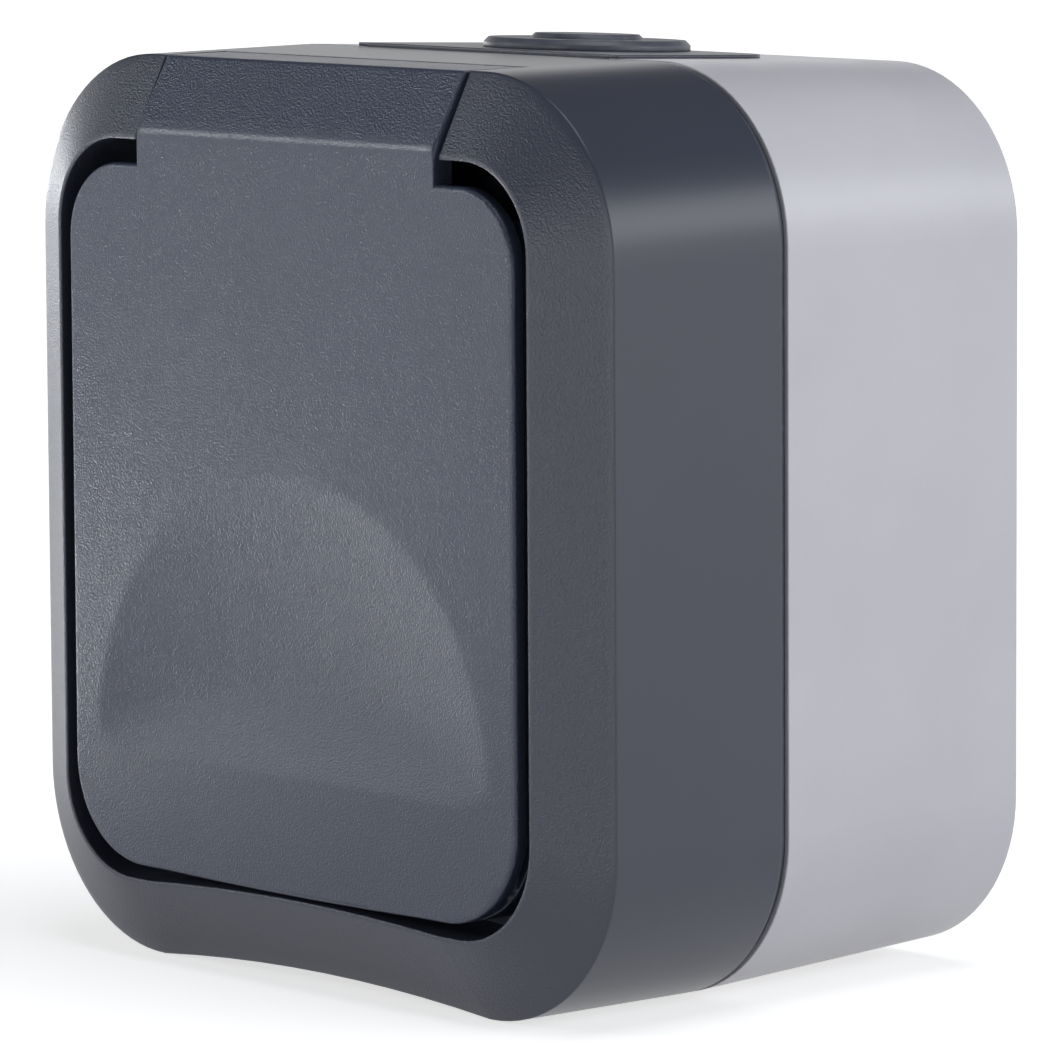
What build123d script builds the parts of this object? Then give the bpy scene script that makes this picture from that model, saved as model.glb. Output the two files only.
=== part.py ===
from build123d import *
import os
from math import cos, pi, sin, sqrt

# Surface-mounted weatherproof socket with a hinged lid.
# Millimetres. X to the right, Y into the wall, Z up; the origin is on the wall at mid-height.
# A depth is a distance in front of the wall, so what lies at some depth has minus that as its Y.

# Wall box
body_width = 70.0
body_height = 75.2
seam_corner_radius = 14.2
box_depth = 26.6
back_taper_width = 0.7
back_taper_height = 2.1
back_corner_radius = 13.5
box_wall = 2.4
box_floor = 2.4
tongue_height = 2.2
tongue_thickness = 1.0
tongue_clearance = 0.2

# Seal between box and cover
seal_thickness = 0.4
seal_inset = 0.4

# Front cover
cover_depth = 18.1
edge_taper_width = 0.5
edge_taper_height = 0.2
edge_corner_radius = 14.5
chamfer_depth = 3.4
cover_wall = 2.4
rim_land = 0.3
rim_width = 6.3
rim_height = 6.8
opening_upper_radius = 7.2
opening_lower_radius = 8.2
recess_depth = 7.0
plate_thickness = 2.2
seam_bevel = 0.35

# Finger scoop in the lower edge of the cover
scoop_outer_margin = 0.25
scoop_outer_rise = 1.0
scoop_inner_margin = 2.45
scoop_inner_rise = 0.65
scoop_seam_rise = 0.05

# Lid
lid_proud = 0.25
lid_wall = 2.0
lid_side_gap = 1.35
lid_top_gap = 2.0
lid_bottom_gap = 1.15
lid_bow_margin = 2.7
lid_bow = 0.2
lid_upper_radius = 6.2
lid_lower_radius = 8.4
lid_edge_round = 0.4
skirt_wall = 1.6
skirt_depth = 4.0
skirt_drop = 2.6
shoulder_bevel = 0.8

# Dished hollow in the lid, a round bowl that runs out on a ramp half way down
dish_margin = 3.1
dish_depth = 1.5
dish_rise = 10.05
ramp_margin = 9.5
ramp_slope = 0.2
ramp_blend = 0.6
dish_backing = 1.5
dish_steps = 24

# Lid tab and hinge
tab_width = 36.2
tab_depth = 6.0
tab_proud = 0.2
tab_side_gap = 0.45
tab_crease_rise = 0.8
tab_root = 1.5
tab_edge_round = 0.4
crease_round = 1.2
hinge_drop = 2.6
hinge_gap = 0.35
trough_wall = 1.5
pin_radius = 1.0
pin_running_gap = 0.05
pin_seat_gap = 0.02
pin_seat_length = 3.0

# Closing spring on the hinge pin
wire_diameter = 0.5
coil_gap = 0.15
coil_turns = 3.75
coil_pitch = 0.62
coil_room = 0.2
coil_facets = 12
wire_facets = 6
leg_end_gap = 0.1

# Plug well
well_radius = 19.75
well_depth = 17.5
well_wall = 1.8
well_floor = 2.4
flange_radius = 23.4
flange_thickness = 1.4
mouth_bevel = 0.7
flange_bevel = 0.4
insert_clearance = 0.2
pin_spacing = 19.0
pin_hole_radius = 2.7
pin_hole_bevel = 0.6
hub_radius = 5.6
hub_height = 1.4
guide_rib_width = 4.6
guide_rib_height = 2.0
guide_rib_drop = 4.0

# Sealing ring on the lid
gasket_inner_radius = 20.4
gasket_outer_radius = 22.8
gasket_seat_height = 1.4
gasket_seat_margin = 1.2
gasket_groove_depth = 0.5
gasket_fit = 0.05
gasket_closing_gap = 0.3

# Insulating base
base_width = 44.0
base_height = 42.0
base_corner_radius = 6.0
base_depth = 14.0
pocket_depth = 10.4
pocket_gap = 0.3
wire_hole_radius = 1.7
pin_end_radius = 3.0

# Earth strap with its two clips
strap_width = 8.0
strap_thickness = 1.0
strap_channel_depth = 3.6
strap_side_gap = 0.5
clip_width = 5.4
clip_slot_gap = 0.6
clip_bend = 3.2
clip_tip_drop = 3.6
clip_fold = 0.9
clip_crest_drop = 7.2
clip_end_drop = 11.2
clip_end_bend = 1.4

# Line and neutral contacts with their wire clamps
contact_thickness = 0.8
contact_width = 6.6
contact_depth = 8.6
contact_grip_radius = 2.3
contact_hole_radius = 2.5
contact_flare = 0.5
contact_flare_length = 2.0
tail_width = 4.4
terminal_width = 6.4
terminal_height = 7.0
terminal_wall = 1.1
terminal_window_depth = 4.6
terminal_inset = 1.5
earth_clamp_side = 6.6
earth_clamp_thickness = 2.4
earth_clamp_drop = 12.5
earth_wire_gap = 0.6
earth_pocket_depth = 4.9

# Screws
cover_screw_radius = 1.5
cover_screw_head_radius = 3.0
cover_screw_head_height = 1.6
cover_screw_inset = 4.9
cover_screw_grip = 12.0
cover_counterbore = 1.0
column_wall = 1.7
column_gap = 0.2
terminal_screw_radius = 1.4
terminal_screw_head_radius = 2.4
terminal_screw_head_height = 1.5
terminal_screw_length = 4.6
base_screw_radius = 1.5
base_screw_head_radius = 2.9
base_screw_head_height = 1.7
base_screw_grip = 4.5
base_screw_seat = 8.0
base_screw_x = 14.5
base_screw_z = 14.5
central_screw_radius = 1.7
central_screw_head_radius = 3.1
central_screw_head_height = 1.9
central_screw_reach = 4.0
screw_hole_gap = 0.2
thread_gap = 0.03
head_gap = 0.3
slot_width = 0.8
slot_depth = 0.7
tip_room = 0.5

# Cable entry on top of the box
entry_width = 31.4
entry_depth = 19.0
entry_corner_radius = 5.0
entry_lip = 1.0
entry_lip_height = 0.3
entry_clip_height = 1.2
entry_fit = 0.12
grommet_setback = 11.4
grommet_radius = 8.6
grommet_height = 0.85
grommet_bevel = 0.4
grommet_neck_radius = 6.4
grommet_fit = 0.05
grommet_foot_radius = 8.0
grommet_foot_height = 1.4
grommet_bore_radius = 5.0
nipple_radius = 4.6
nipple_height = 0.4
nipple_bevel = 0.25
membrane_thickness = 0.8

# Wall fixing slots in the box floor
fixing_inset = 8.55
fixing_slot_length = 7.5
fixing_slot_width = 4.6

# Outlines that follow from the sizes above
back_width = body_width - back_taper_width
back_height = body_height - back_taper_height
edge_width = body_width - edge_taper_width
edge_height = body_height - edge_taper_height
opening_width = edge_width - 2 * rim_width
opening_top = edge_height / 2 - rim_height
opening_bottom = opening_top
scoop_outer_half = edge_width / 2 - edge_corner_radius - scoop_outer_margin
scoop_inner_half = opening_width / 2 - opening_lower_radius - scoop_inner_margin
lid_width = opening_width - 2 * lid_side_gap
lid_bottom = opening_bottom - lid_bottom_gap
lid_bow_half = lid_width / 2 - lid_lower_radius - lid_bow_margin
dish_radius = lid_width / 2 - dish_margin
dish_drop = lid_bottom - dish_rise
ramp_end = lid_bottom - ramp_margin
fixing_spacing = back_height - 2 * fixing_inset

# Depths and levels that follow
seam_depth = box_depth + seal_thickness
edge_depth = seam_depth + cover_depth
front_depth = edge_depth + chamfer_depth
plate_front = front_depth - recess_depth
plate_back = plate_front - plate_thickness
lid_front = front_depth + lid_proud
lid_back = lid_front - lid_wall
flange_front = plate_front + flange_thickness
well_bottom = flange_front - well_depth
insert_back = well_bottom - well_floor
base_front = insert_back
base_back = base_front - base_depth
strap_back = base_front - strap_channel_depth
strap_front = strap_back + strap_thickness
pocket_floor = base_front - pocket_depth

body_top = edge_height / 2
tab_front = edge_depth + tab_proud
tab_rear = tab_front - tab_depth
hinge_depth = tab_front - tab_depth / 2
hinge_level = body_top - hinge_drop
barrel_radius = sqrt((tab_depth / 2) ** 2 + hinge_drop**2)
trough_radius = barrel_radius + hinge_gap
barrel_bottom = hinge_level - barrel_radius
notch_width = tab_width + 2 * tab_side_gap
crease_level = opening_top + tab_crease_rise
shoulder_level = opening_top - lid_top_gap
well_outer = well_radius + well_wall
beyond = body_width

column_radius = cover_screw_radius + screw_hole_gap + column_wall
screw_x = opening_width / 2 - cover_screw_inset
screw_z = opening_bottom - cover_screw_inset
cover_screw_points = [(screw_x, screw_z), (-screw_x, -screw_z)]
boss_top = seam_depth - column_gap
cover_screw_seat = plate_front - cover_counterbore
base_seat = base_front - base_screw_seat
base_screw_points = [(-base_screw_x, base_screw_z), (base_screw_x, -base_screw_z)]

pin_x = pin_spacing / 2
leaf_offset = contact_grip_radius + contact_thickness / 2
pocket_inner = pin_x - leaf_offset - contact_thickness / 2 - contact_flare - pocket_gap
terminal_outer = base_width / 2 - terminal_inset
terminal_x = terminal_outer - terminal_width / 2
pocket_height = terminal_height + 2 * pocket_gap
tail_depth = pocket_floor + terminal_wall + contact_thickness / 2
window_back = pocket_floor + terminal_wall
window_front = window_back + terminal_window_depth
terminal_front = strap_front
strap_half = well_radius + well_wall / 2
clip_tip = flange_front - clip_tip_drop
clamp_front = strap_back - earth_wire_gap
hub_front = well_bottom + hub_height
central_seat = hub_front - central_screw_head_height
central_tip = strap_back - central_screw_reach
groove_floor = lid_back - gasket_seat_height + gasket_groove_depth
seal_face = flange_front + gasket_closing_gap

coil_radius = pin_radius + coil_gap + wire_diameter / 2
coil_outer = coil_radius + wire_diameter / 2
coil_length = coil_turns * coil_pitch
spring_room_radius = coil_outer + coil_room
spring_room_half = (coil_length + wire_diameter) / 2 + coil_room
rear_leg = sqrt(trough_radius**2 - coil_outer**2) - leg_end_gap
lid_leg = spring_room_radius - leg_end_gap

grommet_depth = box_depth - grommet_setback
top_slope = (body_height - back_height) / 2 / box_depth
entry_level = back_height / 2 + top_slope * grommet_depth
entry_plane = Plane((0, -grommet_depth, entry_level), x_dir=(1, 0, 0), z_dir=(0, top_slope, 1))
entry_under = box_wall + entry_fit


def arched_outline(width, top, bottom, upper_radius, lower_radius, arch_half, arch_rise):
    """Rounded outline with a shallow arch in its lower edge."""
    side = width / 2
    with BuildLine() as outline:
        Line((arch_half, -bottom), (side - lower_radius, -bottom))
        JernArc((side - lower_radius, -bottom), (1, 0), lower_radius, 90)
        Line((side, lower_radius - bottom), (side, top - upper_radius))
        JernArc((side, top - upper_radius), (0, 1), upper_radius, 90)
        Line((side - upper_radius, top), (upper_radius - side, top))
        JernArc((upper_radius - side, top), (-1, 0), upper_radius, 90)
        Line((-side, top - upper_radius), (-side, lower_radius - bottom))
        JernArc((-side, lower_radius - bottom), (0, -1), lower_radius, 90)
        Line((lower_radius - side, -bottom), (-arch_half, -bottom))
        ThreePointArc((-arch_half, -bottom), (0, arch_rise - bottom), (arch_half, -bottom))
    return outline.edges()


def opening_outline(margin):
    """Outline of the lid recess, widened all round by a margin."""
    return arched_outline(
        opening_width + 2 * margin,
        opening_top + margin,
        opening_bottom + margin,
        opening_upper_radius + margin,
        opening_lower_radius + margin,
        scoop_inner_half,
        scoop_inner_rise,
    )


def lid_outline():
    """Outline of the lid's front panel."""
    return arched_outline(
        lid_width, shoulder_level, lid_bottom, lid_upper_radius, lid_lower_radius, lid_bow_half, -lid_bow
    )


def screw_set(seat_depth, points, radius, length, head_radius, head_height):
    """Slotted screws driven from the front, heads seated at one depth."""
    seat = Plane.XZ.offset(seat_depth)
    top = Plane.XZ.offset(seat_depth + head_height)
    with BuildPart() as screws:
        with BuildSketch(seat):
            with Locations(*points):
                Circle(head_radius)
        extrude(amount=head_height)
        with BuildSketch(seat):
            with Locations(*points):
                Circle(radius)
        extrude(amount=-length)
        with BuildSketch(top):
            with Locations(*points):
                Rectangle(2 * head_radius, slot_width)
        extrude(amount=-slot_depth, mode=Mode.SUBTRACT)
    return screws


def dish_level(x, z):
    """Depth of the hollow below the lid's face, negative where it lies above the face."""
    bowl = dish_depth * (1 - (x**2 + (z + dish_drop) ** 2) / dish_radius**2)
    ramp = ramp_slope * (z + ramp_end)
    share = min(max((ramp - bowl + ramp_blend) / (2 * ramp_blend), 0), 1)
    return ramp + (bowl - ramp) * share - ramp_blend * share * (1 - share)


def dish_surface():
    """Smooth surface of the hollow, reaching a little past its rim on every side."""
    reach = dish_radius + lid_wall
    spots = [reach * (2 * step / dish_steps - 1) for step in range(dish_steps + 1)]
    rows = [[(x, dish_level(x, z - dish_drop) - lid_front, z - dish_drop) for x in spots] for z in spots]
    return Face.make_surface_from_array_of_points([[Vector(*spot) for spot in row] for row in rows])


def coil_point(step):
    """Place on the closing spring's coil, counted in facets from its top."""
    turn = step / coil_facets
    angle = 2 * pi * turn
    return Vector(
        coil_pitch * turn - coil_length / 2,
        -hinge_depth - coil_radius * sin(angle),
        hinge_level + coil_radius * cos(angle),
    )


def contact(side):
    """Sprung contact for one plug pin, with a flat tail that lies in its wire clamp."""
    inner = pin_x - leaf_offset
    outer = pin_x + leaf_offset
    tip = tail_depth + contact_depth
    with BuildPart() as strip:
        with BuildSketch(Plane.XY):
            with BuildLine():
                Polyline(
                    (side * (inner - contact_flare), -tip),
                    (side * inner, contact_flare_length - tip),
                    (side * inner, -tail_depth),
                    (side * outer, -tail_depth),
                    (side * outer, contact_flare_length - tip),
                    (side * (outer + contact_flare), -tip),
                )
            trace(line_width=contact_thickness)
        extrude(amount=contact_width / 2, both=True)
        with BuildSketch(Plane.XY):
            with BuildLine():
                Line((side * outer, -tail_depth), (side * terminal_outer, -tail_depth))
            trace(line_width=contact_thickness)
        extrude(amount=tail_width / 2, both=True)
        with BuildSketch(Plane.XZ):
            with Locations((side * pin_x, 0)):
                Circle(contact_hole_radius)
        extrude(amount=tail_depth + contact_thickness / 2, mode=Mode.SUBTRACT)
    return strip


def terminal(side):
    """Wire clamp cage round a contact's tail, open to the side for the wire."""
    with BuildPart() as cage:
        with BuildSketch(Plane.YZ.offset(side * terminal_x)):
            with Locations((-(pocket_floor + terminal_front) / 2, 0)):
                Rectangle(terminal_front - pocket_floor, terminal_height)
            with Locations((-(window_back + window_front) / 2, 0)):
                Rectangle(
                    terminal_window_depth, terminal_height - 2 * terminal_wall, mode=Mode.SUBTRACT
                )
        extrude(amount=terminal_width / 2, both=True)
        with BuildSketch(Plane.XZ.offset(window_front)):
            with Locations((side * terminal_x, 0)):
                Circle(terminal_screw_radius + thread_gap)
        extrude(amount=terminal_front - window_front, mode=Mode.SUBTRACT)
    return cage


# Wall box: drafted shell, sealing tongue, corner bosses, base pillars, fixing slots, cable notch
with BuildPart() as back_box:
    with BuildSketch(Plane.XZ):
        RectangleRounded(back_width, back_height, back_corner_radius)
    with BuildSketch(Plane.XZ.offset(box_depth)):
        RectangleRounded(body_width, body_height, seam_corner_radius)
    loft(ruled=True)
    inset = box_wall - tongue_thickness
    with BuildSketch(Plane.XZ.offset(box_depth)):
        RectangleRounded(
            body_width - 2 * inset, body_height - 2 * inset, seam_corner_radius - inset
        )
    extrude(amount=tongue_height)
    with BuildSketch(Plane.XZ.offset(box_floor)):
        RectangleRounded(
            back_width - 2 * box_wall, back_height - 2 * box_wall, back_corner_radius - box_wall
        )
    with BuildSketch(Plane.XZ.offset(box_depth + tongue_height)):
        RectangleRounded(
            body_width - 2 * box_wall, body_height - 2 * box_wall, seam_corner_radius - box_wall
        )
    loft(ruled=True, mode=Mode.SUBTRACT)
    with BuildSketch(Plane.XZ.offset(box_floor)):
        with Locations(*cover_screw_points):
            Circle(column_radius)
    extrude(amount=boss_top - box_floor)
    with BuildSketch(Plane.XZ.offset(box_floor)):
        with Locations(*base_screw_points):
            Circle(base_screw_radius + thread_gap + column_wall)
    extrude(amount=base_back - box_floor)
    with BuildSketch(Plane.XZ.offset(boss_top)):
        with Locations(*cover_screw_points):
            Circle(cover_screw_radius + thread_gap)
    extrude(amount=-cover_screw_grip - tip_room, mode=Mode.SUBTRACT)
    with BuildSketch(Plane.XZ.offset(base_back)):
        with Locations(*base_screw_points):
            Circle(base_screw_radius + thread_gap)
    extrude(amount=-base_screw_grip - tip_room, mode=Mode.SUBTRACT)
    with BuildSketch(Plane.XZ):
        with GridLocations(0, fixing_spacing, 1, 2):
            SlotOverall(fixing_slot_length, fixing_slot_width, rotation=90)
    extrude(amount=box_floor, mode=Mode.SUBTRACT)
    with BuildSketch(entry_plane):
        with Locations((0, entry_depth - grommet_setback - entry_lip)):
            RectangleRounded(
                entry_width - 2 * entry_lip,
                2 * entry_depth,
                entry_corner_radius - entry_lip,
                align=(Align.CENTER, Align.MAX),
            )
    extrude(amount=2 * box_wall, both=True, mode=Mode.SUBTRACT)
back_box.part.label = "back_box"

# Cable entry plate: slides into the notch from the seam, gripping the wall between two flanges
with BuildPart() as cable_entry_plate:
    with BuildSketch(entry_plane.offset(-entry_under - entry_clip_height)) as flange:
        with Locations((0, entry_depth - grommet_setback)):
            RectangleRounded(
                entry_width, 2 * entry_depth, entry_corner_radius, align=(Align.CENTER, Align.MAX)
            )
        with Locations((0, -grommet_setback)):
            Rectangle(beyond, beyond, align=(Align.CENTER, Align.MAX), mode=Mode.SUBTRACT)
    extrude(amount=entry_clip_height)
    with BuildSketch(entry_plane):
        add(flange.sketch_local)
    extrude(amount=entry_lip_height)
    with BuildSketch(entry_plane.offset(-entry_under)):
        add(flange.sketch_local)
        with Locations((0, entry_depth - grommet_setback - entry_lip - entry_fit)):
            RectangleRounded(
                entry_width - 2 * entry_lip - 2 * entry_fit,
                2 * entry_depth,
                entry_corner_radius - entry_lip,
                align=(Align.CENTER, Align.MAX),
                mode=Mode.INTERSECT,
            )
    extrude(amount=entry_under)
    with BuildSketch(entry_plane):
        Circle(grommet_neck_radius + grommet_fit)
    extrude(amount=beyond, both=True, mode=Mode.SUBTRACT)
    with BuildSketch(Plane.XZ.offset(box_depth)):
        Rectangle(beyond, 2 * beyond)
    extrude(amount=beyond, mode=Mode.SUBTRACT)
cable_entry_plate.part.label = "cable_entry_plate"

# Cable grommet: rubber, closed by a thin membrane that the cable pierces
with BuildPart() as cable_grommet:
    neck_foot = -entry_under - entry_clip_height
    with BuildSketch(entry_plane.offset(entry_lip_height)):
        Circle(grommet_radius)
    extrude(amount=grommet_height)
    chamfer(cable_grommet.faces().sort_by(Axis.Z)[-1].edges(), grommet_bevel)
    with BuildSketch(entry_plane.offset(entry_lip_height + grommet_height)):
        Circle(nipple_radius)
    extrude(amount=nipple_height)
    chamfer(cable_grommet.faces().sort_by(Axis.Z)[-1].edges(), nipple_bevel)
    with BuildSketch(entry_plane.offset(entry_lip_height)):
        Circle(grommet_neck_radius)
    extrude(amount=neck_foot - entry_lip_height)
    with BuildSketch(entry_plane.offset(neck_foot)):
        Circle(grommet_foot_radius)
    extrude(amount=-grommet_foot_height)
    nipple_top = entry_lip_height + grommet_height + nipple_height
    with BuildSketch(entry_plane.offset(nipple_top - membrane_thickness)):
        Circle(grommet_bore_radius)
    extrude(amount=-beyond, mode=Mode.SUBTRACT)
cable_grommet.part.label = "cable_grommet"

# Seal: flat ring between the edges of box and cover, outside the tongue
with BuildPart() as box_gasket:
    with BuildSketch(Plane.XZ.offset(box_depth)):
        RectangleRounded(
            body_width - 2 * seal_inset, body_height - 2 * seal_inset, seam_corner_radius - seal_inset
        )
        inset = box_wall - tongue_thickness - tongue_clearance
        RectangleRounded(
            body_width - 2 * inset,
            body_height - 2 * inset,
            seam_corner_radius - inset,
            mode=Mode.SUBTRACT,
        )
    extrude(amount=seal_thickness)
box_gasket.part.label = "box_gasket"

# Front cover: lofted shell with sloped rim, lid recess, hinge trough and screw columns
with BuildPart() as front_cover:
    half_height = body_height / 2
    bevel_edges = arched_outline(
        body_width - 2 * seam_bevel,
        half_height - seam_bevel,
        half_height - seam_bevel,
        seam_corner_radius - seam_bevel,
        seam_corner_radius - seam_bevel,
        scoop_outer_half,
        scoop_seam_rise,
    )
    seam_edges = arched_outline(
        body_width,
        half_height,
        half_height,
        seam_corner_radius,
        seam_corner_radius,
        scoop_outer_half,
        scoop_seam_rise,
    )
    rim_edges = arched_outline(
        edge_width,
        body_top,
        body_top,
        edge_corner_radius,
        edge_corner_radius,
        scoop_outer_half,
        scoop_outer_rise,
    )
    with BuildSketch(Plane.XZ.offset(seam_depth)):
        make_face(bevel_edges)
    with BuildSketch(Plane.XZ.offset(seam_depth + seam_bevel)):
        make_face(seam_edges)
    with BuildSketch(Plane.XZ.offset(edge_depth)):
        make_face(rim_edges)
    with BuildSketch(Plane.XZ.offset(front_depth)):
        make_face(opening_outline(rim_land))
    loft(ruled=True)
    with BuildSketch(Plane.XZ.offset(seam_depth)):
        RectangleRounded(
            edge_width - 2 * cover_wall, edge_height - 2 * cover_wall, edge_corner_radius - cover_wall
        )
    extrude(amount=plate_back - seam_depth, mode=Mode.SUBTRACT)
    inset = box_wall - tongue_thickness - tongue_clearance
    with BuildSketch(Plane.XZ.offset(seam_depth)):
        RectangleRounded(
            body_width - 2 * inset, body_height - 2 * inset, seam_corner_radius - inset
        )
    extrude(amount=tongue_height - seal_thickness + tongue_clearance, mode=Mode.SUBTRACT)
    with BuildSketch(Plane.YZ):
        with Locations((-hinge_depth, hinge_level)):
            Circle(trough_radius + trough_wall)
        with Locations((-plate_front, body_top - cover_wall / 2)):
            Rectangle(beyond, beyond, align=(Align.MIN, Align.MAX), mode=Mode.INTERSECT)
    extrude(amount=notch_width / 2 + trough_wall, both=True)
    with BuildSketch(Plane.XZ.offset(plate_back)):
        with Locations(*cover_screw_points):
            Circle(column_radius)
    extrude(amount=seam_depth - plate_back)
    with BuildSketch(Plane.XZ.offset(plate_front)):
        make_face(opening_outline(0))
    extrude(amount=2 * recess_depth, mode=Mode.SUBTRACT)
    with BuildSketch(Plane.YZ):
        with Locations((-hinge_depth, hinge_level)):
            Circle(trough_radius)
        with Locations((-hinge_depth, hinge_level - trough_radius)):
            Rectangle(beyond, beyond, align=(Align.MAX, Align.MIN))
    extrude(amount=notch_width / 2, both=True, mode=Mode.SUBTRACT)
    with BuildSketch(Plane.YZ):
        with Locations((-hinge_depth, hinge_level)):
            Circle(pin_radius + pin_seat_gap)
    extrude(amount=notch_width / 2 + pin_seat_length, both=True, mode=Mode.SUBTRACT)
    with BuildSketch(Plane.XZ.offset(plate_back)):
        Circle(well_outer + insert_clearance)
    extrude(amount=plate_thickness, mode=Mode.SUBTRACT)
    with BuildSketch(Plane.XZ.offset(seam_depth)):
        with Locations(*cover_screw_points):
            Circle(cover_screw_radius + screw_hole_gap)
    extrude(amount=plate_front - seam_depth, mode=Mode.SUBTRACT)
    with BuildSketch(Plane.XZ.offset(cover_screw_seat)):
        with Locations(*cover_screw_points):
            Circle(cover_screw_head_radius + head_gap)
    extrude(amount=cover_counterbore, mode=Mode.SUBTRACT)
front_cover.part.label = "front_cover"

# Backing of the hollow, a shallow dome on the inner side of the lid
dome_radius = (dish_radius**2 + dish_depth**2) / (2 * dish_depth)
with BuildPart() as dish_dome:
    with BuildSketch(Plane.XZ.offset(lid_back)):
        make_face(lid_outline())
        offset(amount=-skirt_wall, mode=Mode.REPLACE)
    extrude(amount=-dish_depth - dish_backing)
    with Locations((0, dish_depth - lid_front - dome_radius, -dish_drop)):
        Sphere(dome_radius + dish_backing, mode=Mode.INTERSECT)

# Lid: panel with skirt and sealing ring seat, tab with hinge barrel, dished hollow
with BuildPart() as lid:
    with BuildSketch(Plane.XZ.offset(lid_back)):
        make_face(lid_outline())
    extrude(amount=lid_wall)
    fillet(lid.faces().sort_by(Axis.Y)[0].edges(), lid_edge_round)
    chamfer(lid.faces().sort_by(Axis.Y)[-1].edges().sort_by(Axis.Z)[-3:], shoulder_bevel)
    with BuildSketch(Plane.XZ.offset(lid_back)):
        make_face(lid_outline())
        offset(amount=-skirt_wall, mode=Mode.SUBTRACT)
        with Locations((0, shoulder_level - skirt_drop)):
            Rectangle(beyond, beyond, align=(Align.CENTER, Align.MIN), mode=Mode.SUBTRACT)
    extrude(amount=-skirt_depth)
    add(dish_dome.part)
    with BuildSketch(Plane.XZ.offset(lid_back)):
        Circle(gasket_outer_radius + gasket_seat_margin)
        Circle(gasket_inner_radius - gasket_seat_margin, mode=Mode.SUBTRACT)
    extrude(amount=-gasket_seat_height)
    with BuildSketch(Plane.YZ):
        with BuildLine():
            Polyline(
                (-hinge_depth, barrel_bottom),
                (-lid_back, barrel_bottom),
                (-lid_back, shoulder_level - tab_root),
                (-lid_front, shoulder_level - tab_root),
                (-lid_front, crease_level),
                (-tab_front, body_top),
                (-tab_rear, body_top),
            )
            ThreePointArc(
                (-tab_rear, body_top),
                (barrel_radius - hinge_depth, hinge_level),
                (-hinge_depth, barrel_bottom),
            )
        make_face()
    extrude(amount=tab_width / 2, both=True)
    fillet(lid.edges().sort_by_distance((0, -lid_front, crease_level))[0], crease_round)
    fillet(lid.edges().sort_by_distance((0, -tab_front, body_top))[0], tab_edge_round)
    with BuildSketch(Plane.YZ):
        with Locations((-hinge_depth, hinge_level)):
            Circle(spring_room_radius)
        with Locations((-hinge_depth, hinge_level + spring_room_radius)):
            Rectangle(beyond, beyond, align=(Align.MIN, Align.MAX))
        with Locations((-hinge_depth - spring_room_radius, hinge_level)):
            Rectangle(beyond, 2 * trough_radius, align=(Align.MIN, Align.CENTER), mode=Mode.INTERSECT)
    extrude(amount=spring_room_half, both=True, mode=Mode.SUBTRACT)
    with BuildSketch(Plane.XZ.offset(groove_floor)):
        Circle(gasket_outer_radius + gasket_fit)
        Circle(gasket_inner_radius - gasket_fit, mode=Mode.SUBTRACT)
    extrude(amount=seal_face - groove_floor, mode=Mode.SUBTRACT)
    with BuildSketch(Plane.YZ):
        with Locations((-hinge_depth, hinge_level)):
            Circle(pin_radius + pin_running_gap)
    extrude(amount=tab_width, both=True, mode=Mode.SUBTRACT)
    extrude(dish_surface(), amount=dish_depth + lid_wall, dir=(0, -1, 0), mode=Mode.SUBTRACT)
lid.part.label = "lid"

# Sealing ring in the groove of the lid
with BuildPart() as lid_gasket:
    with BuildSketch(Plane.XZ.offset(seal_face)):
        Circle(gasket_outer_radius)
        Circle(gasket_inner_radius, mode=Mode.SUBTRACT)
    extrude(amount=groove_floor - seal_face)
lid_gasket.part.label = "lid_gasket"

# Hinge pin, seated in the cover on both sides of the tab
with BuildPart() as hinge_pin:
    with BuildSketch(Plane.YZ):
        with Locations((-hinge_depth, hinge_level)):
            Circle(pin_radius)
    extrude(amount=notch_width / 2 + pin_seat_length, both=True)
hinge_pin.part.label = "hinge_pin"

# Closing spring: one leg bears on the back of the trough, the other lifts the lid's tab
with BuildPart() as lid_spring:
    coil = [coil_point(step) for step in range(round(coil_turns * coil_facets) + 1)]
    with BuildLine():
        wire = Polyline(coil[0] + Vector(0, rear_leg, 0), *coil, coil[-1] + Vector(0, 0, lid_leg))
    with BuildSketch(Plane(wire @ 0, z_dir=wire % 0)):
        RegularPolygon(wire_diameter / 2, wire_facets)
    sweep(transition=Transition.RIGHT)
lid_spring.part.label = "lid_spring"

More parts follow.
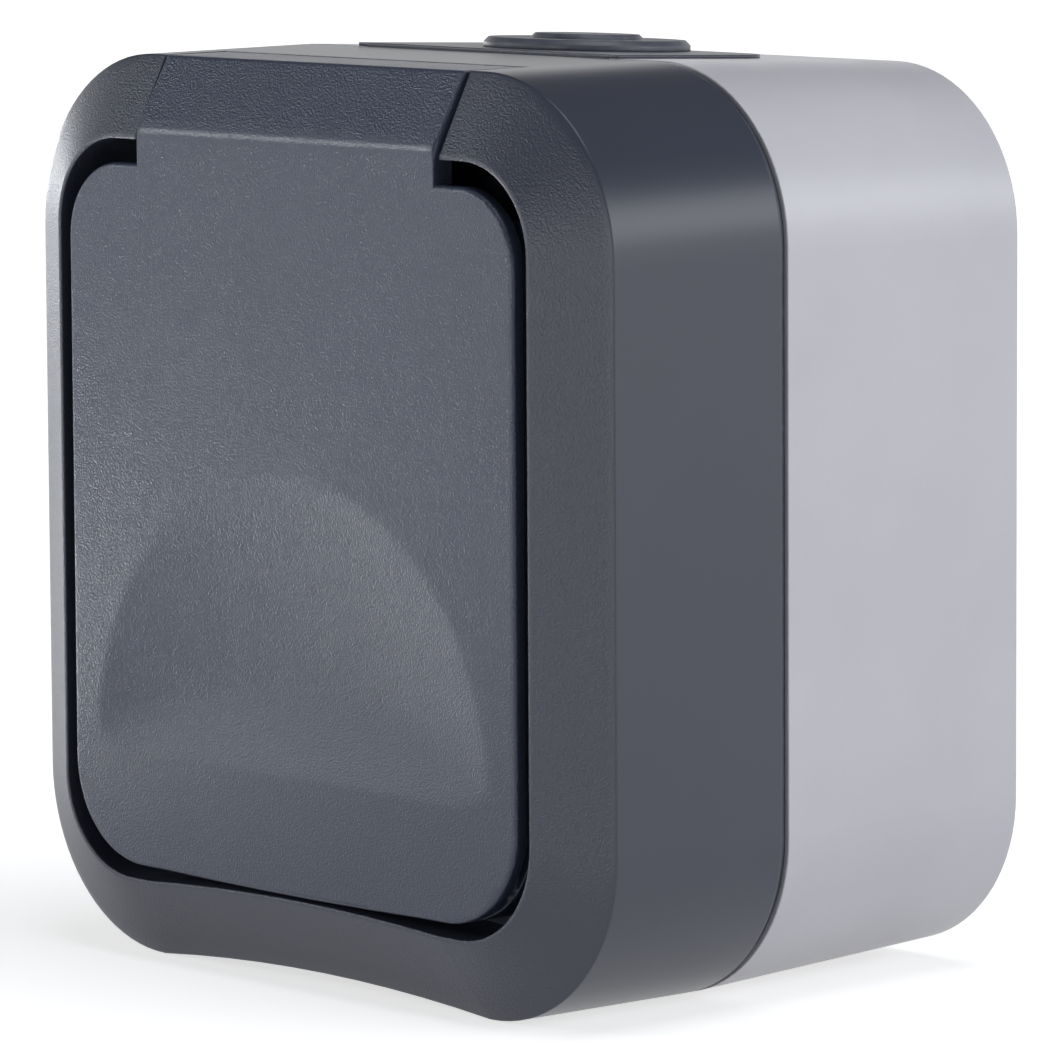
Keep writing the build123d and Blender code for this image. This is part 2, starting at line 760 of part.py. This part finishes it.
# Plug well: flanged cup with guide ribs, hub, pin holes and slots for the earth clips
with BuildPart() as socket_insert:
    with BuildSketch(Plane.XZ.offset(plate_front)):
        Circle(flange_radius)
    extrude(amount=flange_thickness)
    chamfer(socket_insert.faces().sort_by(Axis.Y)[0].edges(), flange_bevel)
    with BuildSketch(Plane.XZ.offset(insert_back)):
        Circle(well_outer)
    extrude(amount=plate_front - insert_back)
    with BuildSketch(Plane.XZ.offset(well_bottom)):
        Circle(well_radius)
    extrude(amount=well_depth, mode=Mode.SUBTRACT)
    mouth = socket_insert.faces().sort_by(Axis.Y)[0].edges().sort_by(SortBy.RADIUS)[0]
    chamfer(mouth, mouth_bevel)
    with BuildSketch(Plane.XZ.offset(well_bottom)):
        Circle(hub_radius)
    extrude(amount=hub_height)
    with BuildSketch(Plane.XZ.offset(well_bottom)):
        with GridLocations(2 * well_radius, 0, 2, 1):
            Rectangle(2 * guide_rib_height, guide_rib_width)
        Circle(well_outer, mode=Mode.INTERSECT)
    extrude(amount=well_depth - guide_rib_drop)
    with BuildSketch(Plane.XZ.offset(insert_back)):
        with GridLocations(pin_spacing, 0, 2, 1):
            Circle(pin_hole_radius)
        Circle(central_screw_radius + screw_hole_gap)
    extrude(amount=well_floor + hub_height, mode=Mode.SUBTRACT)
    with BuildSketch(Plane.XZ.offset(well_bottom)):
        with GridLocations(pin_spacing, 0, 2, 1):
            Circle(pin_hole_radius + pin_hole_bevel)
    extrude(amount=-2 * pin_hole_bevel, taper=45, mode=Mode.SUBTRACT)
    with BuildSketch(Plane.XZ.offset(central_seat)):
        Circle(central_screw_head_radius + head_gap)
    extrude(amount=central_screw_head_height, mode=Mode.SUBTRACT)
    with BuildSketch(Plane.XZ.offset(insert_back)):
        with Locations((0, well_radius - clip_slot_gap)):
            slot_span = clip_width + 2 * clip_slot_gap
            Rectangle(slot_span, well_radius, align=(Align.CENTER, Align.MIN))
        mirror(about=Plane.XZ)
    extrude(amount=clip_tip + strap_thickness + clip_slot_gap - insert_back, mode=Mode.SUBTRACT)
socket_insert.part.label = "socket_insert"

# Insulating base: channel for the earth strap, pockets for contacts and clamps, wire and screw holes
with BuildPart() as socket_base:
    with BuildSketch(Plane.XZ.offset(base_back)):
        RectangleRounded(base_width, base_height, base_corner_radius)
    extrude(amount=base_depth)
    with BuildSketch(Plane.XZ.offset(strap_back)):
        Rectangle(strap_width + 2 * strap_side_gap, base_height)
    extrude(amount=strap_channel_depth, mode=Mode.SUBTRACT)
    for side in (-1, 1):
        with BuildSketch(Plane.XZ.offset(window_back)):
            with Locations((side * (pocket_inner + terminal_outer) / 2, 0)):
                Rectangle(terminal_outer - pocket_inner, pocket_height)
        extrude(amount=base_front - window_back, mode=Mode.SUBTRACT)
        with BuildSketch(Plane.XZ.offset(pocket_floor)):
            with Locations((side * terminal_x, 0)):
                Rectangle(terminal_width + 2 * pocket_gap, pocket_height)
        extrude(amount=pocket_depth, mode=Mode.SUBTRACT)
        with BuildSketch(Plane.YZ.offset(side * terminal_outer)):
            with Locations((-(window_back + window_front) / 2, 0)):
                Circle(wire_hole_radius)
        extrude(amount=side * base_width, mode=Mode.SUBTRACT)
    with BuildSketch(Plane.XZ.offset(base_back)):
        with GridLocations(pin_spacing, 0, 2, 1):
            Circle(pin_end_radius)
    extrude(amount=window_back - base_back, mode=Mode.SUBTRACT)
    with BuildSketch(Plane.XZ.offset(strap_back)):
        with Locations((0, -earth_clamp_drop)):
            pocket_side = earth_clamp_side + 2 * pocket_gap
            Rectangle(pocket_side, pocket_side)
    extrude(amount=-earth_pocket_depth, mode=Mode.SUBTRACT)
    with BuildSketch(Plane.XY.offset(-earth_clamp_drop)):
        with Locations((0, -strap_back)):
            Circle(wire_hole_radius)
    extrude(amount=-base_height, mode=Mode.SUBTRACT)
    with BuildSketch(Plane.XZ.offset(base_back)):
        with Locations(*base_screw_points):
            Circle(base_screw_radius + screw_hole_gap)
    extrude(amount=base_depth, mode=Mode.SUBTRACT)
    with BuildSketch(Plane.XZ.offset(base_seat)):
        with Locations(*base_screw_points):
            Circle(base_screw_head_radius + head_gap)
    extrude(amount=base_screw_seat, mode=Mode.SUBTRACT)
    with BuildSketch(Plane.XZ.offset(strap_back)):
        Circle(central_screw_radius + screw_hole_gap)
    extrude(amount=-central_screw_reach - tip_room, mode=Mode.SUBTRACT)
socket_base.part.label = "socket_base"

# Line and neutral: contacts and wire clamps on the two sides
line_contact = contact(-1)
line_contact.part.label = "line_contact"
neutral_contact = contact(1)
neutral_contact.part.label = "neutral_contact"
line_terminal = terminal(-1)
line_terminal.part.label = "line_terminal"
neutral_terminal = terminal(1)
neutral_terminal.part.label = "neutral_terminal"

# Earth strap: flat in the channel, bent forward at both ends into sprung clips
with BuildPart() as earth_bridge:
    strap_middle = strap_back + strap_thickness / 2
    with BuildSketch(Plane.YZ):
        with BuildLine():
            Polyline(
                (-strap_middle, 0),
                (-strap_middle, strap_half),
                (clip_fold - clip_tip, strap_half),
                (-clip_tip, strap_half - clip_fold),
                (clip_crest_drop - flange_front, well_radius - clip_bend),
                (clip_end_drop - flange_front, well_radius - clip_end_bend),
            )
        trace(line_width=strap_thickness)
        mirror(about=Plane.XZ)
    extrude(amount=clip_width / 2, both=True)
    with BuildSketch(Plane.XZ.offset(strap_back)):
        Rectangle(strap_width, 2 * (strap_half - strap_thickness))
    extrude(amount=strap_thickness)
    with BuildSketch(Plane.XZ.offset(strap_back)):
        Circle(central_screw_radius + thread_gap)
        with Locations((0, -earth_clamp_drop)):
            Circle(terminal_screw_radius + screw_hole_gap)
    extrude(amount=strap_thickness, mode=Mode.SUBTRACT)
earth_bridge.part.label = "earth_bridge"

# Earth wire clamp, a threaded plate behind the strap
with BuildPart() as earth_clamp:
    with BuildSketch(Plane.XZ.offset(clamp_front)):
        with Locations((0, -earth_clamp_drop)):
            Rectangle(earth_clamp_side, earth_clamp_side)
            Circle(terminal_screw_radius + thread_gap, mode=Mode.SUBTRACT)
    extrude(amount=-earth_clamp_thickness)
earth_clamp.part.label = "earth_clamp"

# Screws, one node for each kind
cover_screws = screw_set(
    cover_screw_seat,
    cover_screw_points,
    cover_screw_radius,
    cover_screw_seat - boss_top + cover_screw_grip,
    cover_screw_head_radius,
    cover_screw_head_height,
)
cover_screws.part.label = "cover_screws"
terminal_screws = screw_set(
    strap_front,
    [(terminal_x, 0), (-terminal_x, 0), (0, -earth_clamp_drop)],
    terminal_screw_radius,
    terminal_screw_length,
    terminal_screw_head_radius,
    terminal_screw_head_height,
)
terminal_screws.part.label = "terminal_screws"
base_screws = screw_set(
    base_seat,
    base_screw_points,
    base_screw_radius,
    base_seat - base_back + base_screw_grip,
    base_screw_head_radius,
    base_screw_head_height,
)
base_screws.part.label = "base_screws"
central_screw = screw_set(
    central_seat,
    [(0, 0)],
    central_screw_radius,
    central_seat - central_tip,
    central_screw_head_radius,
    central_screw_head_height,
)
central_screw.part.label = "central_screw"

os.makedirs("parts", exist_ok=True)
pieces = [
    back_box,
    front_cover,
    lid,
    box_gasket,
    cable_entry_plate,
    cable_grommet,
    hinge_pin,
    lid_spring,
    lid_gasket,
    cover_screws,
    socket_insert,
    central_screw,
    socket_base,
    line_contact,
    neutral_contact,
    line_terminal,
    neutral_terminal,
    earth_bridge,
    earth_clamp,
    terminal_screws,
    base_screws,
]
for piece in pieces:
    export_step(piece.part, f"parts/{piece.part.label}.step")
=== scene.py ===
"""Looks of the outdoor weatherproof socket: finishes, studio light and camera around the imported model."""

from math import radians

import bpy
from mathutils import Matrix, Vector


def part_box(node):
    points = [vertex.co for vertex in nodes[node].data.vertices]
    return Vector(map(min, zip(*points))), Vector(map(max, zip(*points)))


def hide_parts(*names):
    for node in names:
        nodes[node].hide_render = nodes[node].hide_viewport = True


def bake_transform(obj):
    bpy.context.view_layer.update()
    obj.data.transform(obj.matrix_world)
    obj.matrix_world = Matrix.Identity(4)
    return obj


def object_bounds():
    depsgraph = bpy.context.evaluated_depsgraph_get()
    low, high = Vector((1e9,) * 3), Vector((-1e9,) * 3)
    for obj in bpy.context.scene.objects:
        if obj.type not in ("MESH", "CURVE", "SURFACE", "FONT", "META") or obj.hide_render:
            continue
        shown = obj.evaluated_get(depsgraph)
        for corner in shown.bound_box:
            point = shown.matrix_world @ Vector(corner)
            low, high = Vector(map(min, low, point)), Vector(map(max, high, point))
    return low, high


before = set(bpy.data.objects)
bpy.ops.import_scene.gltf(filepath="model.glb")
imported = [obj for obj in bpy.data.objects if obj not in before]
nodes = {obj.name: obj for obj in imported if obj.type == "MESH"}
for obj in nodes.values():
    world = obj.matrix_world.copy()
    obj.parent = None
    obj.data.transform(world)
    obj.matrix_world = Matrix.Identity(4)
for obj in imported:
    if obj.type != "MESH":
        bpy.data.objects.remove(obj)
cad_box = [list(corner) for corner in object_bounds()]
mm = 0.001

# Camera fitted to the photograph, in metres, degrees and millimetres of lens and sensor
camera_place = Vector((0.4114, -0.4022, 0.0663))
camera_yaw = 47.286
camera_pitch = 6.402
camera_roll = -0.34
camera_lens = 233.1
camera_sensor = 36.0
camera_shift = (-0.0007, -0.0600)

# Colours as linear values
white = (1.0, 1.0, 1.0)
dark_plastic = (0.037, 0.042, 0.062)
light_plastic = (0.515, 0.508, 0.548)
lid_colour = (0.038, 0.046, 0.076)
soft_rubber = (0.058, 0.062, 0.078)
cream_plastic = (0.640, 0.620, 0.560)
zinc_steel = (0.560, 0.560, 0.570)
warm_brass = (0.640, 0.430, 0.170)
floor_colour = (0.620, 0.620, 0.620)
lamp_colour = (0.94, 0.97, 1.0)

# Roughness of the finishes
box_roughness = 0.34
cover_roughness = 0.30
lid_roughness = 0.32
entry_roughness = 0.36
base_roughness = 0.50
steel_roughness = 0.30
brass_roughness = 0.28

# Range that holds most values of the noise texture
noise_low = 0.3
noise_high = 0.7

# Plastics: flow marks, patches of gloss, orange peel and softened edges
flow_size = 18 * mm
flow_detail = 3
flow_contrast = 0.04
gloss_size = 4 * mm
gloss_detail = 4
gloss_swing = 0.03
peel_size = 0.5 * mm
peel_detail = 2
peel_depth = 0.006 * mm
plastic_edge = 0.25 * mm
bevel_samples = 8

# Lid: eroded grain, with rounder edges at the hollow and at the crease below the tab
lid_flow_contrast = 0.05
lid_gloss_detail = 3
lid_gloss_swing = 0.02
lid_grain_size = 0.17 * mm
lid_grain_depth = 0.064 * mm
grain_detail = 1
hollow_side = 25.0 * mm
hollow_side_fade = 0.4 * mm
hollow_foot = -27.1 * mm
hollow_head = 7.5 * mm
hollow_end_fade = 0.5 * mm
hollow_edge = 1.3 * mm
crease_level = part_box("lid")[1].z - 6.0 * mm
crease_core = 0.4 * mm
crease_reach = 0.9 * mm
crease_edge = 0.7 * mm
crease_grain = 0.5

# Cover: grain on the sloped rim, which ends at the front edge of the side walls
rim_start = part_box("front_cover")[0].y + 3.2 * mm
rim_fade = 0.3 * mm
rim_extra_roughness = 0.10
rim_grain_size = 0.18 * mm
rim_grain_depth = 0.060 * mm
wall_grain = 0.04
cover_edge = 0.3 * mm

# Rubber: dusty mottle and a fine skin
dust_size = 1.2 * mm
dust_detail = 4
dust_roughness = 0.6
dust_low = 0.35
dust_high = 0.75
dust_tint = 1.6
rubber_gloss_size = 0.6 * mm
rubber_gloss_detail = 3
rubber_gloss_low = 0.38
rubber_gloss_high = 0.50
skin_size = 0.25 * mm
skin_detail = 2
skin_depth = 0.012 * mm
rubber_edge = 0.3 * mm

# Metals: stains, uneven gloss and fine marks
stain_size = 1.5 * mm
stain_detail = 4
stain_dark = 0.85
stain_light = 1.08
metal_gloss_size = 0.5 * mm
metal_gloss_detail = 4
metal_gloss_drop = 0.06
metal_gloss_rise = 0.08
mark_size = 0.12 * mm
mark_detail = 2
mark_depth = 0.004 * mm
metal_edge = 0.1 * mm

# Floor: its glow brings the lit paper up to white, more so away from the part
floor_level = cad_box[0][2]
floor_half = 6.0
near_distance = 0.15
far_distance = 1.5
near_glow = 0.65
far_glow = 0.95

# World: a bright horizon behind the part and a dim ceiling, by the height and depth of a direction
horizon_top = 0.25
horizon_level = 1.0
ceiling_start = 0.42
ceiling_level = 0.10
front_end = -0.35
front_level = 0.35
rear_start = 0.25
rear_level = 1.0

# Points of the part that the softboxes aim at, and the height of the lamps that lie on the floor
wall_centre = (0, 0, 0)
body_centre = (0, -0.02, 0)
rim_centre = (0, -0.03, 0)
lid_centre = (0, -0.04, 0)
panel_level = floor_level + 1.6 * mm
panel_aim = 1.0


class Tree:
    """A node tree with helpers that add and join nodes."""

    def __init__(self, tree):
        self.tree = tree

    def add(self, kind, **settings):
        node = self.tree.nodes.new(kind)
        for name, value in settings.items():
            setattr(node, name, value)
        return node

    def join(self, source, target):
        self.tree.links.new(source, target)

    def spread(self, source, low, high, out_low, out_high, interpolation="LINEAR"):
        """Maps a range of one value to another, held at its ends."""
        node = self.add("ShaderNodeMapRange", interpolation_type=interpolation)
        node.inputs["From Min"].default_value = low
        node.inputs["From Max"].default_value = high
        node.inputs["To Min"].default_value = out_low
        node.inputs["To Max"].default_value = out_high
        self.join(source, node.inputs["Value"])
        return node.outputs["Result"]

    def combine(self, operation, first, second):
        node = self.add("ShaderNodeMath", operation=operation)
        self.join(first, node.inputs[0])
        self.join(second, node.inputs[1])
        return node.outputs["Value"]

    def times(self, first, second):
        return self.combine("MULTIPLY", first, second)

    def larger(self, first, second):
        return self.combine("MAXIMUM", first, second)

    def coordinates(self, kind):
        return self.add("ShaderNodeTexCoord").outputs[kind]

    def split(self, vector):
        """The three parts of a vector, by name."""
        node = self.add("ShaderNodeSeparateXYZ")
        self.join(vector, node.inputs["Vector"])
        return node.outputs


class Finish(Tree):
    """A material's node tree, with helpers for patterns on the surface."""

    def __init__(self, name):
        self.material = bpy.data.materials.new(name)
        self.material.use_nodes = True
        super().__init__(self.material.node_tree)
        self.shader = self.tree.nodes["Principled BSDF"]
        self.place = self.coordinates("Object")

    def drive(self, name, source):
        """Joins a value to an input of the surface."""
        self.join(source, self.shader.inputs[name])

    def noise(self, size, detail, roughness=0.5):
        """Noise whose features are about this many metres across."""
        node = self.add("ShaderNodeTexNoise")
        node.inputs["Scale"].default_value = 1 / size
        node.inputs["Detail"].default_value = detail
        node.inputs["Roughness"].default_value = roughness
        self.join(self.place, node.inputs["Vector"])
        return node.outputs["Fac"]

    def vary(self, size, detail, low, high):
        """Value that wanders between two limits, in patches of about this many metres."""
        return self.spread(self.noise(size, detail), noise_low, noise_high, low, high)

    def blend(self, factor, first, second):
        """Colour between two fixed colours."""
        node = self.add("ShaderNodeMix", data_type="RGBA")
        node.inputs["A"].default_value = (*first, 1)
        node.inputs["B"].default_value = (*second, 1)
        self.join(factor, node.inputs["Factor"])
        return node.outputs["Result"]

    def flow_marks(self, colour, contrast):
        """Base colour with the faint flow marks of a moulding."""
        marks = self.vary(flow_size, flow_detail, 0, 1)
        tone = self.blend(marks, shaded(colour, 1 - contrast), shaded(colour, 1 + contrast))
        self.drive("Base Color", tone)

    def soft_edges(self):
        """Node whose normal rounds off the edges of the solid."""
        return self.add("ShaderNodeBevel", samples=bevel_samples)

    def relief(self, height, depth, edge_radius):
        """Bump over edges that are softened by a fixed radius."""
        edges = self.soft_edges()
        edges.inputs["Radius"].default_value = edge_radius
        self.relief_over(edges, height, depth)

    def relief_over(self, edges, height, depth):
        """Bump over softened edges."""
        node = self.add("ShaderNodeBump")
        node.inputs["Distance"].default_value = depth
        self.join(height, node.inputs["Height"])
        self.join(edges.outputs["Normal"], node.inputs["Normal"])
        self.drive("Normal", node.outputs["Normal"])


def shaded(colour, factor):
    return tuple(factor * channel for channel in colour)


def moulded_plastic(name, colour, roughness):
    """Smooth moulded plastic: faint flow marks, fine orange peel, slightly uneven gloss."""
    finish = Finish(name)
    finish.flow_marks(colour, flow_contrast)
    gloss = finish.vary(gloss_size, gloss_detail, roughness - gloss_swing, roughness + gloss_swing)
    finish.drive("Roughness", gloss)
    finish.relief(finish.noise(peel_size, peel_detail), peel_depth, plastic_edge)
    return finish


def lid_plastic(name, colour, roughness):
    """Moulded plastic with an eroded grain that glitters, and rounder edges at the hollow and the crease."""
    finish = Finish(name)
    finish.flow_marks(colour, lid_flow_contrast)
    gloss = finish.vary(
        gloss_size, lid_gloss_detail, roughness - lid_gloss_swing, roughness + lid_gloss_swing
    )
    finish.drive("Roughness", gloss)
    place = finish.split(finish.place)
    aside = finish.add("ShaderNodeMath", operation="ABSOLUTE")
    finish.join(place["X"], aside.inputs[0])
    across = finish.spread(
        aside.outputs["Value"], hollow_side - hollow_side_fade, hollow_side + hollow_side_fade, 1, 0
    )
    above_foot = finish.spread(
        place["Z"], hollow_foot - hollow_end_fade, hollow_foot + hollow_end_fade, 0, 1
    )
    below_head = finish.spread(
        place["Z"], hollow_head - hollow_end_fade, hollow_head + hollow_end_fade, 1, 0
    )
    hollow = finish.times(finish.times(across, above_foot), below_head)
    from_below = finish.spread(place["Z"], crease_level - crease_reach, crease_level - crease_core, 0, 1)
    from_above = finish.spread(place["Z"], crease_level + crease_core, crease_level + crease_reach, 1, 0)
    crease = finish.times(from_below, from_above)
    radius = finish.larger(
        finish.spread(hollow, 0, 1, plastic_edge, hollow_edge),
        finish.spread(crease, 0, 1, plastic_edge, crease_edge),
    )
    edges = finish.soft_edges()
    finish.join(radius, edges.inputs["Radius"])
    grain = finish.noise(lid_grain_size, grain_detail)
    finish.relief_over(edges, finish.times(grain, finish.spread(crease, 0, 1, 1, crease_grain)), lid_grain_depth)
    return finish


def cover_plastic(name, colour, roughness):
    """Satin plastic of the cover, grained only on its sloped rim in front of the side walls."""
    finish = Finish(name)
    finish.flow_marks(colour, flow_contrast)
    depth = finish.split(finish.place)["Y"]
    rim = finish.spread(depth, rim_start + rim_fade, rim_start - rim_fade, 0, 1)
    finish.drive("Roughness", finish.spread(rim, 0, 1, roughness, roughness + rim_extra_roughness))
    grain = finish.noise(rim_grain_size, grain_detail)
    finish.relief(finish.times(grain, finish.spread(rim, 0, 1, wall_grain, 1)), rim_grain_depth, cover_edge)
    return finish


def rubber(name, colour):
    """Matt rubber with a fine dusty mottle."""
    finish = Finish(name)
    mottle = finish.noise(dust_size, dust_detail, dust_roughness)
    dust = finish.spread(mottle, dust_low, dust_high, 0, 1)
    finish.drive("Base Color", finish.blend(dust, colour, shaded(colour, dust_tint)))
    gloss = finish.vary(rubber_gloss_size, rubber_gloss_detail, rubber_gloss_low, rubber_gloss_high)
    finish.drive("Roughness", gloss)
    finish.relief(finish.noise(skin_size, skin_detail), skin_depth, rubber_edge)
    return finish


def metal(name, colour, roughness):
    """Stamped or turned metal: faint stains and fine scratches."""
    finish = Finish(name)
    stain = finish.vary(stain_size, stain_detail, 0, 1)
    tone = finish.blend(stain, shaded(colour, stain_dark), shaded(colour, stain_light))
    finish.drive("Base Color", tone)
    finish.shader.inputs["Metallic"].default_value = 1.0
    gloss = finish.vary(
        metal_gloss_size, metal_gloss_detail, roughness - metal_gloss_drop, roughness + metal_gloss_rise
    )
    finish.drive("Roughness", gloss)
    finish.relief(finish.noise(mark_size, mark_detail), mark_depth, metal_edge)
    return finish


def dress(finish, *names):
    """Gives CAD nodes a finish."""
    for name in names:
        mesh = nodes[name].data
        mesh.materials.clear()
        mesh.materials.append(finish.material)


def add_closing_spring():
    """The spring as a piece of its own, copied from its CAD node, which is then hidden."""
    node = nodes["lid_spring"]
    spring = bpy.data.objects.new("closing_spring", node.data.copy())
    bpy.context.scene.collection.objects.link(spring)
    spring.matrix_world = node.matrix_world
    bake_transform(spring)
    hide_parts("lid_spring")


def background_rays(tree):
    """One for rays that show the background: straight from the camera, or by way of gloss or glass."""
    path = tree.add("ShaderNodeLightPath").outputs
    mirrored = tree.larger(path["Is Camera Ray"], path["Is Glossy Ray"])
    return tree.larger(mirrored, path["Is Transmission Ray"])


def add_floor():
    """Pale floor that shows white and keeps a soft shadow."""
    corners = [
        (x * floor_half, y * floor_half, floor_level) for x, y in ((-1, -1), (1, -1), (1, 1), (-1, 1))
    ]
    mesh = bpy.data.meshes.new("floor")
    mesh.from_pydata(corners, [], [(0, 1, 2, 3)])
    floor = bpy.data.objects.new("floor", mesh)
    bpy.context.scene.collection.objects.link(floor)
    material = bpy.data.materials.new("floor_paper")
    material.use_nodes = True
    material.node_tree.nodes.clear()
    tree = Tree(material.node_tree)
    paper = tree.add("ShaderNodeBsdfDiffuse")
    paper.inputs["Color"].default_value = (*floor_colour, 1)
    distance = tree.add("ShaderNodeVectorMath", operation="LENGTH")
    tree.join(tree.coordinates("Object"), distance.inputs[0])
    brightness = tree.spread(distance.outputs["Value"], near_distance, far_distance, near_glow, far_glow)
    glow = tree.add("ShaderNodeEmission")
    glow.inputs["Color"].default_value = (*white, 1)
    tree.join(tree.times(brightness, background_rays(tree)), glow.inputs["Strength"])
    both = tree.add("ShaderNodeAddShader")
    tree.join(paper.outputs["BSDF"], both.inputs[0])
    tree.join(glow.outputs["Emission"], both.inputs[1])
    output = tree.add("ShaderNodeOutputMaterial")
    tree.join(both.outputs["Shader"], output.inputs["Surface"])
    mesh.materials.append(material)


def add_world():
    """White low horizon behind the part under a dim ceiling."""
    world = bpy.data.worlds.new("studio")
    bpy.context.scene.world = world
    world.use_nodes = True
    world.node_tree.nodes.clear()
    tree = Tree(world.node_tree)
    direction = tree.split(tree.coordinates("Generated"))
    by_height = tree.spread(
        direction["Z"], horizon_top, ceiling_start, horizon_level, ceiling_level, "SMOOTHSTEP"
    )
    by_depth = tree.spread(direction["Y"], front_end, rear_start, front_level, rear_level, "SMOOTHSTEP")
    background = tree.add("ShaderNodeBackground")
    background.inputs["Color"].default_value = (*white, 1)
    tree.join(tree.times(by_height, by_depth), background.inputs["Strength"])
    output = tree.add("ShaderNodeOutputWorld")
    tree.join(background.outputs["Background"], output.inputs["Surface"])


def add_softbox(name, place, target, size, power):
    """Soft lamp of a width and height in metres and a power in watts."""
    lamp = bpy.data.lights.new(name, "AREA")
    lamp.shape = "RECTANGLE"
    lamp.size, lamp.size_y = size
    lamp.energy = power
    lamp.color = lamp_colour
    box = bpy.data.objects.new(name, lamp)
    bpy.context.scene.collection.objects.link(box)
    box.visible_camera = False
    box.location = place
    box.rotation_euler = (Vector(target) - Vector(place)).to_track_quat("-Z", "Y").to_euler()


def add_floor_panel(name, x, y, size, power):
    """Soft lamp that lies on the floor and shines up."""
    add_softbox(name, (x, y, panel_level), (x, y, panel_aim), size, power)


def add_camera():
    data = bpy.data.cameras.new("camera")
    data.lens = camera_lens
    data.sensor_width = camera_sensor
    data.shift_x, data.shift_y = camera_shift
    camera = bpy.data.objects.new("camera", data)
    bpy.context.scene.collection.objects.link(camera)
    turn = Matrix.Rotation(radians(camera_yaw), 4, "Z")
    tilt = Matrix.Rotation(radians(90 - camera_pitch), 4, "X")
    roll = Matrix.Rotation(radians(camera_roll), 4, "Z")
    camera.matrix_world = Matrix.Translation(camera_place) @ turn @ tilt @ roll
    bpy.context.scene.camera = camera


dress(moulded_plastic("light_box_plastic", light_plastic, box_roughness), "back_box")
dress(cover_plastic("cover_plastic", dark_plastic, cover_roughness), "front_cover")
dress(lid_plastic("lid_plastic", lid_colour, lid_roughness), "lid")
dress(
    moulded_plastic("entry_plastic", dark_plastic, entry_roughness),
    "cable_entry_plate",
    "socket_insert",
)
dress(moulded_plastic("base_plastic", cream_plastic, base_roughness), "socket_base")
dress(rubber("seal_rubber", soft_rubber), "box_gasket", "lid_gasket", "cable_grommet")
dress(
    metal("zinc_steel", zinc_steel, steel_roughness),
    "hinge_pin",
    "lid_spring",
    "cover_screws",
    "central_screw",
    "base_screws",
    "terminal_screws",
    "earth_bridge",
    "earth_clamp",
)
dress(
    metal("brass", warm_brass, brass_roughness),
    "line_contact",
    "neutral_contact",
    "line_terminal",
    "neutral_terminal",
)

add_closing_spring()
add_floor()
add_world()
add_floor_panel("floor_left", -0.17, -0.080, size=(0.12, 0.04), power=0.24)
add_floor_panel("floor_front", -0.14, -0.36, size=(0.3, 0.2), power=0.45)
add_softbox("mid_left", (-1.0, -0.9, 0.38), lid_centre, size=(0.4, 0.2), power=3.6)
add_softbox("upper_left", (-1.05, -1.0, 0.72), lid_centre, size=(0.5, 0.25), power=1.8)
add_softbox("front", (0.1, -1.5, 0.05), lid_centre, size=(0.6, 0.4), power=6.4)
add_softbox("side_right", (1.1, 0.25, 0.35), body_centre, size=(0.7, 0.7), power=5.1)
add_softbox("strip_right", (0.85, 0.85, 0.36), body_centre, size=(1.0, 0.38), power=2.7)
add_softbox("rear_left", (-1.6, 0.4, 0.03), rim_centre, size=(0.8, 0.12), power=2.8)
add_softbox("overhead", (0.35, 0.0, 1.45), wall_centre, size=(0.8, 0.8), power=8.5)
add_camera()
bpy.context.scene.view_settings.view_transform = "Standard"
